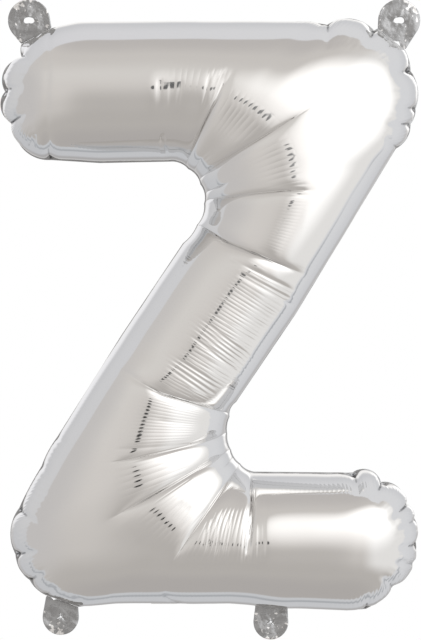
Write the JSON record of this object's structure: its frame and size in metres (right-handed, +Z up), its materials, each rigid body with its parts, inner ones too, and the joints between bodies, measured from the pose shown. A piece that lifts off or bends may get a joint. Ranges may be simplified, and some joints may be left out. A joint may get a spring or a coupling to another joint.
{
  "type": "letter foil balloon",
  "caption": "Silver foil balloon in the shape of the letter Z, two welded sheets blown up to round strokes, with punched hanging tabs and a filling neck.",
  "frame": {"origin": "midway between the punched holes of the two top tabs, on the thread that the letter hangs from, in the plane of its weld", "axes": "+X along the bars of the letter to the reader's right, +Y from the front of the letter to its back, +Z up"},
  "size_m": [0.26, 0.0926, 0.3966],
  "materials": {
    "foil": "bright metallised film, gently crinkled",
    "weld": "bright metallised film, pressed flat",
    "tab_foil": "bright metallised film, crumpled"
  },
  "bodies": {
    "balloon": {"front_sheet": "foil", "back_sheet": "foil", "weld_rim": "weld"},
    "tab_top_left": {"tab_top_left": "tab_foil"},
    "tab_top_right": {"tab_top_right": "tab_foil"},
    "tab_bottom_left": {"tab_bottom_left": "tab_foil"},
    "tab_bottom_right": {"tab_bottom_right": "tab_foil"},
    "neck": {"fill_neck": "weld"}
  },
  "joints": [
    {"name": "tab_top_left_fold", "type": "hinge", "parent": "balloon", "child": "tab_top_left", "pos_m": [-0.11024, 0, -0.00975], "axis": [0.8818, 0, 0.4716], "range_deg": [-75, 75], "stiffness_Nm_per_rad": 0.0002},
    {"name": "tab_top_right_fold", "type": "hinge", "parent": "balloon", "child": "tab_top_right", "pos_m": [0.11015, 0, -0.01174], "axis": [0.7876, 0, -0.6162], "range_deg": [-75, 75], "stiffness_Nm_per_rad": 0.0002},
    {"name": "tab_bottom_left_fold", "type": "hinge", "parent": "balloon", "child": "tab_bottom_left", "pos_m": [-0.09418, 0, -0.36073], "axis": [0.9418, 0, -0.336], "range_deg": [-75, 75], "stiffness_Nm_per_rad": 0.0002},
    {"name": "tab_bottom_right_fold", "type": "hinge", "parent": "balloon", "child": "tab_bottom_right", "pos_m": [0.03562, 0, -0.36375], "axis": [0.9964, 0, -0.0851], "range_deg": [-75, 75], "stiffness_Nm_per_rad": 0.0002},
    {"name": "neck_fold", "type": "hinge", "parent": "balloon", "child": "neck", "pos_m": [-0.031, 0, -0.3618], "axis": [-1, 0, 0], "range_deg": [0, 100], "stiffness_Nm_per_rad": 0.0004}
  ]
}
